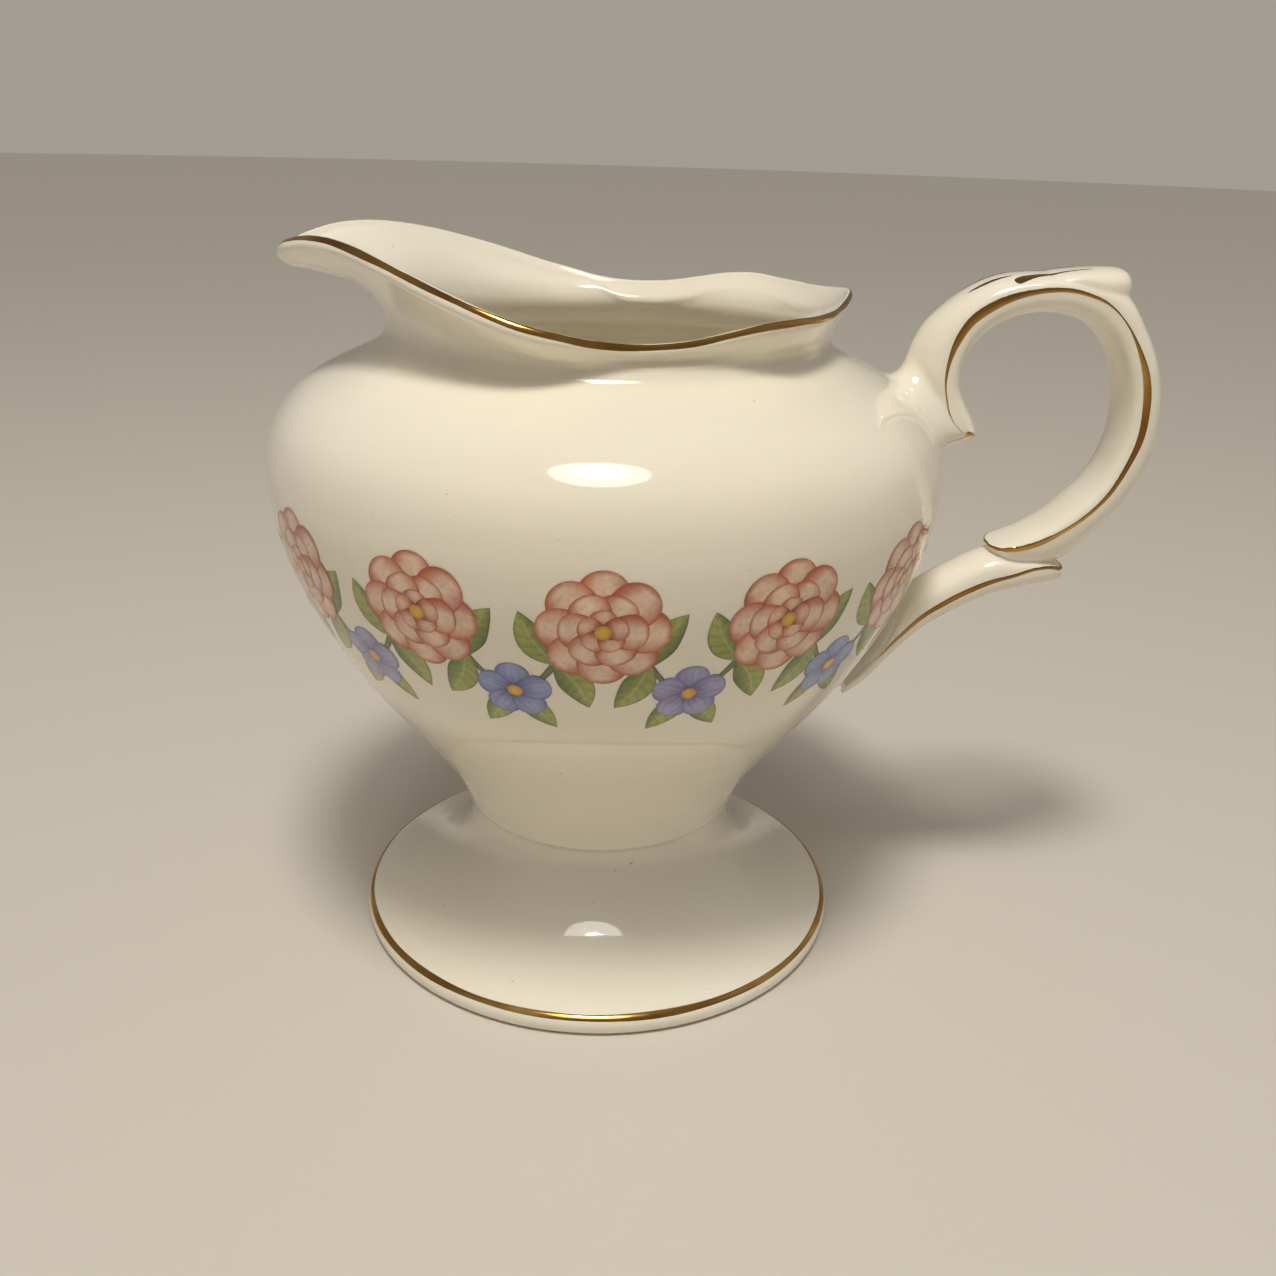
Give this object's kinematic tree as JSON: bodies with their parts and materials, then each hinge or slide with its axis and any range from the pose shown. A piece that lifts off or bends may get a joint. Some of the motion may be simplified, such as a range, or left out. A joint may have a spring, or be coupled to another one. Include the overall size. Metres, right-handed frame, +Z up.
{
  "type": "cream jug",
  "caption": "Footed porcelain cream jug with a rounded bowl, wavy pouring lip, scroll handle with thumb rest, and gilt lines.",
  "frame": {"origin": "centre of the bounding box in plan, on the surface that the foot ring stands on", "axes": "+X towards the handle, -X towards the pouring lip, +Z up along the jug's axis, Y across the jug; the jug's axis of turning is 15.35 mm on the -X side of the origin"},
  "size_m": [0.1239, 0.0932, 0.1021],
  "materials": {
    "bowl_glaze": "glossy clear glaze over warm white china",
    "foot_glaze": "glossy clear glaze, unglazed foot ring",
    "handle_glaze": "glossy clear glaze",
    "gilding": "burnished gold line, slightly worn"
  },
  "bodies": {
    "root": {"body": "bowl_glaze", "foot": "foot_glaze", "handle": "handle_glaze", "rim_gilding": "gilding", "foot_gilding": "gilding", "loop_gilding_near": "gilding", "loop_gilding_far": "gilding", "strut_gilding_near": "gilding", "strut_gilding_far": "gilding"}
  },
  "joints": []
}
